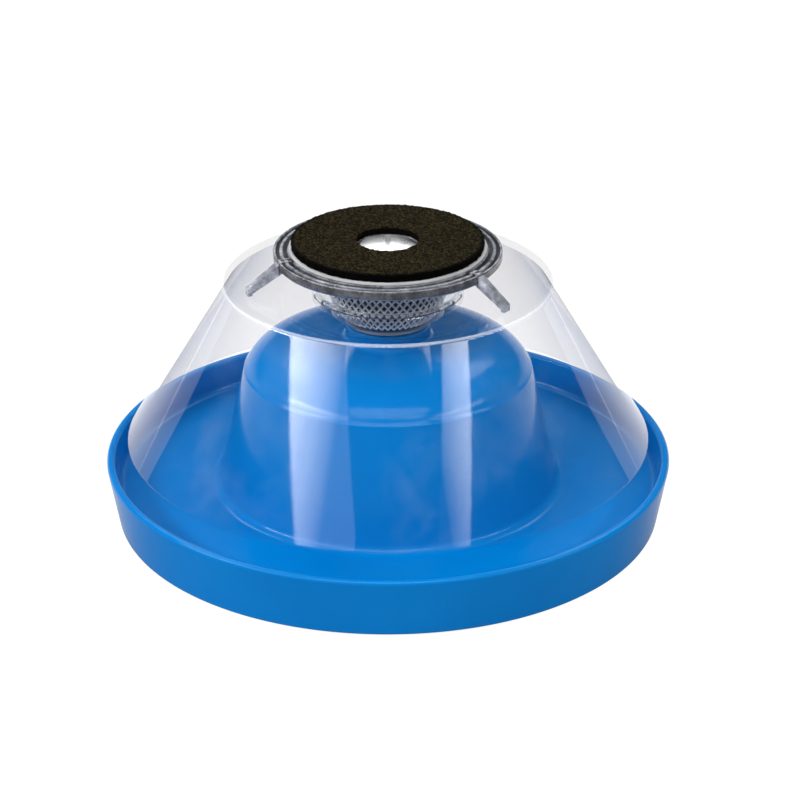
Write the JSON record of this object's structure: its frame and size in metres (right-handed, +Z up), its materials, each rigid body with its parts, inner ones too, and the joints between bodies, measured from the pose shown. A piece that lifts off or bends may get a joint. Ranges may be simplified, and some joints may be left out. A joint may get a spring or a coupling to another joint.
{
  "type": "air stone",
  "caption": "Domed air stone unit: round weighted tray with a raised boss, clear cone cover on a mesh-sleeved porous hub, three-armed retainer and porous ring disc on top.",
  "frame": {"origin": "centre of the bounding box on the surface that the foot pads stand on", "axes": "+Z up along the unit's axis, -Y towards the front, +Y towards the air inlet"},
  "size_m": [0.1, 0.1, 0.0511],
  "materials": {
    "blue_gloss": "glossy moulded",
    "blue_matte": "satin moulded",
    "ballast": "rough cast",
    "steel": "brushed",
    "bright_steel": "polished",
    "rubber": "matt",
    "grey_rubber": "matt",
    "dark_plastic": "satin moulded",
    "pale_plastic": "satin moulded",
    "clear_part": "clear moulded plastic",
    "smoke_clear": "smoky clear moulded plastic",
    "stone": "bonded grit, porous",
    "tape": "white foam tape",
    "porous_black": "coarse porous, speckled"
  },
  "bodies": {
    "base": {"base_tray": "blue_gloss", "bottom_plate": "blue_matte", "ballast_ring": "ballast", "plate_screw_1": "steel", "plate_screw_2": "steel", "plate_screw_3": "steel", "foot_pad_1": "rubber", "foot_pad_2": "rubber", "foot_pad_3": "rubber", "air_elbow": "dark_plastic", "inlet_grommet": "rubber", "riser_tube": "clear_part", "hub_nut": "pale_plastic", "hub_seal": "grey_rubber", "hub_cup": "clear_part", "centre_post": "steel", "stone_core": "stone", "mesh_sleeve": "steel"},
    "cover": {"clear_cover": "clear_part", "cover_seal": "clear_part"},
    "cap": {"retainer_spider": "smoke_clear", "tape_ring": "tape", "porous_disc": "porous_black", "clamp_washer": "steel"},
    "clamp": {"clamp_screw": "bright_steel"}
  },
  "joints": [
    {"name": "cover_lift", "type": "slide", "parent": "base", "child": "cover", "axis": [0, 0, 1], "range_m": [0, 0.045]},
    {"name": "cap_lift", "type": "slide", "parent": "cover", "child": "cap", "axis": [0, 0, 1], "range_m": [0, 0.02]},
    {"name": "clamp_turn", "type": "hinge", "parent": "cap", "child": "clamp", "pos_m": [0, 0, 0.05], "axis": [0, 0, 1], "continuous": true}
  ]
}
